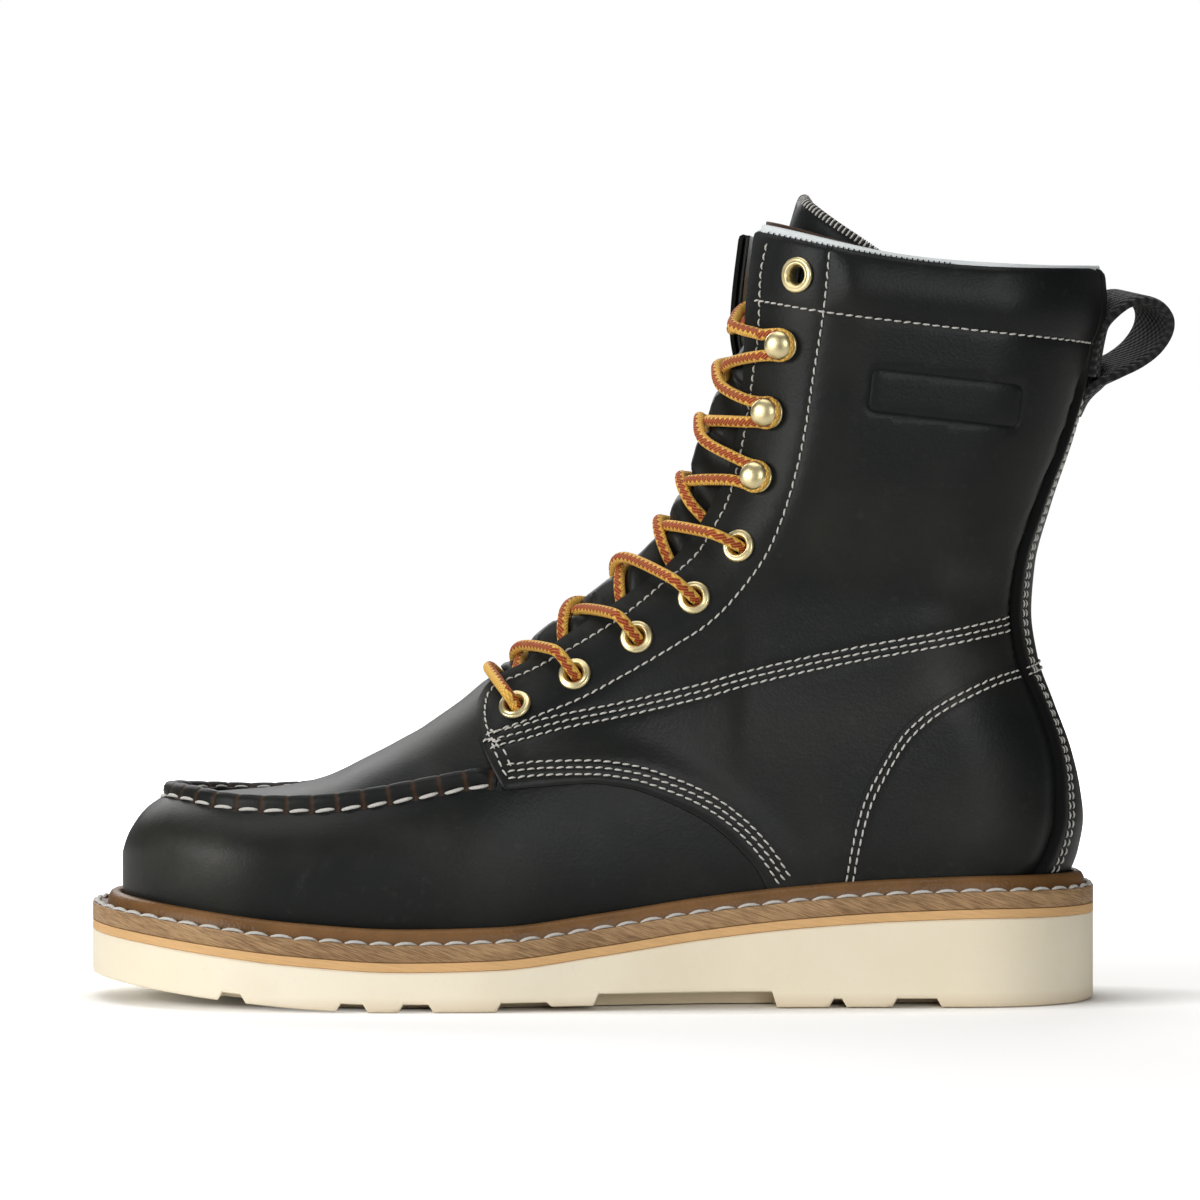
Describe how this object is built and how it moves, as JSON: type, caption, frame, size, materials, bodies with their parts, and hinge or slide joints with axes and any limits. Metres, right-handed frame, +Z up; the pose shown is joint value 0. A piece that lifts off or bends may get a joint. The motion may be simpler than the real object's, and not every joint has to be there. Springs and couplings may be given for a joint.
{
  "type": "moc toe work boot",
  "caption": "Left lace-up leather work boot with a stitched moc toe, storm welt and cream wedge sole, padded tongue, brass eyelets and speed hooks, and a webbing pull loop at the heel.",
  "frame": {"origin": "on the floor under the middle of the boot's bounding box", "axes": "+X runs from toe to heel, +Y to the medial side, +Z up the shaft"},
  "size_m": [0.33, 0.1078, 0.245],
  "materials": {
    "leather": "oiled black full grain leather",
    "welt": "brown welt leather, waxed",
    "tan": "tan leather midsole edge",
    "cream": "matt cream cellular rubber",
    "lining": "natural footbed leather",
    "webbing": "woven black webbing",
    "brass": "pale polished brass",
    "lace": "round braided lace, yellow and brick red"
  },
  "bodies": {
    "root": {"outsole": "cream", "midsole": "tan", "welt": "welt", "insole": "lining", "upper": "leather", "tongue": "leather", "moc_seam": "leather", "pull_loop": "webbing", "eyelet_lateral_1": "brass", "eyelet_lateral_2": "brass", "eyelet_lateral_3": "brass", "eyelet_lateral_4": "brass", "eyelet_lateral_5": "brass", "eyelet_lateral_6": "brass", "eyelet_medial_1": "brass", "eyelet_medial_2": "brass", "eyelet_medial_3": "brass", "eyelet_medial_4": "brass", "eyelet_medial_5": "brass", "eyelet_medial_6": "brass", "hook_lateral_1": "brass", "hook_lateral_2": "brass", "hook_lateral_3": "brass", "hook_medial_1": "brass", "hook_medial_2": "brass", "hook_medial_3": "brass", "lace_bar": "lace", "lace_cross_1": "lace", "lace_cross_2": "lace", "lace_cross_3": "lace", "lace_cross_4": "lace", "lace_cross_5": "lace", "lace_cross_6": "lace", "lace_cross_7": "lace", "lace_end_lateral": "lace", "lace_end_medial": "lace"}
  },
  "joints": []
}
